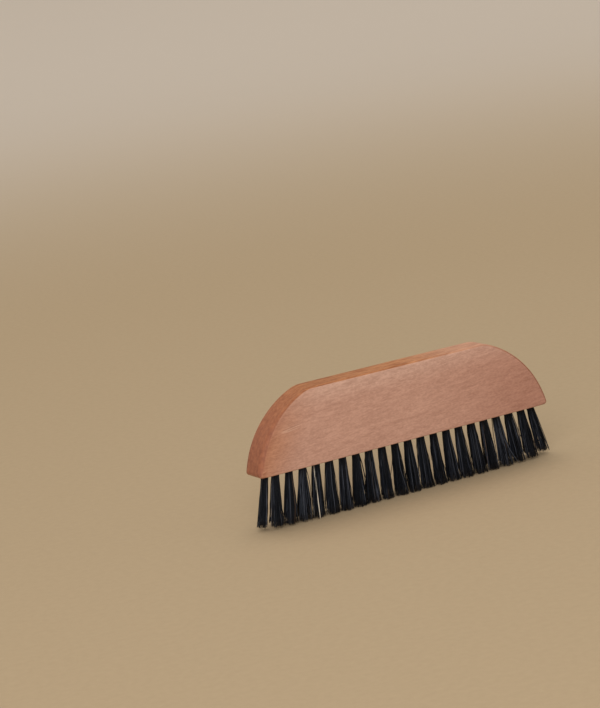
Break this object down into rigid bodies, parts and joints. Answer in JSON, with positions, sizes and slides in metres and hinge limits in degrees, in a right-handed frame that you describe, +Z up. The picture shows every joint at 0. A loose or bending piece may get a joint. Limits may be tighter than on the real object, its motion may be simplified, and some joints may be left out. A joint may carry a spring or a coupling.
{
  "type": "beard brush",
  "caption": "Slim beard brush: an arched wooden block with a flat underside and two staggered rows of black bristle tufts.",
  "frame": {"origin": "under the middle of the bristles, on the surface that the brush stands on", "axes": "+X along the brush to its right end, +Y through its thickness to the rear face, +Z up from the bristle tips to the flat top"},
  "size_m": [0.1328, 0.012, 0.0508],
  "materials": {
    "wood": "oiled, satin",
    "bristle": "natural bristle, dyed black",
    "anchor_wire": "drawn flat wire"
  },
  "bodies": {
    "root": {"wooden_block": "wood", "tuft_front_01": "bristle", "tuft_front_02": "bristle", "tuft_front_03": "bristle", "tuft_front_04": "bristle", "tuft_front_05": "bristle", "tuft_front_06": "bristle", "tuft_front_07": "bristle", "tuft_front_08": "bristle", "tuft_front_09": "bristle", "tuft_front_10": "bristle", "tuft_front_11": "bristle", "tuft_front_12": "bristle", "tuft_front_13": "bristle", "tuft_front_14": "bristle", "tuft_front_15": "bristle", "tuft_front_16": "bristle", "tuft_front_17": "bristle", "tuft_front_18": "bristle", "tuft_front_19": "bristle", "tuft_front_20": "bristle", "tuft_rear_01": "bristle", "tuft_rear_02": "bristle", "tuft_rear_03": "bristle", "tuft_rear_04": "bristle", "tuft_rear_05": "bristle", "tuft_rear_06": "bristle", "tuft_rear_07": "bristle", "tuft_rear_08": "bristle", "tuft_rear_09": "bristle", "tuft_rear_10": "bristle", "tuft_rear_11": "bristle", "tuft_rear_12": "bristle", "tuft_rear_13": "bristle", "tuft_rear_14": "bristle", "tuft_rear_15": "bristle", "tuft_rear_16": "bristle", "tuft_rear_17": "bristle", "tuft_rear_18": "bristle", "tuft_rear_19": "bristle", "tuft_rear_20": "bristle", "tuft_left_end": "bristle", "tuft_right_end": "bristle", "anchors_front": "anchor_wire", "anchors_rear": "anchor_wire", "anchors_ends": "anchor_wire"}
  },
  "joints": []
}
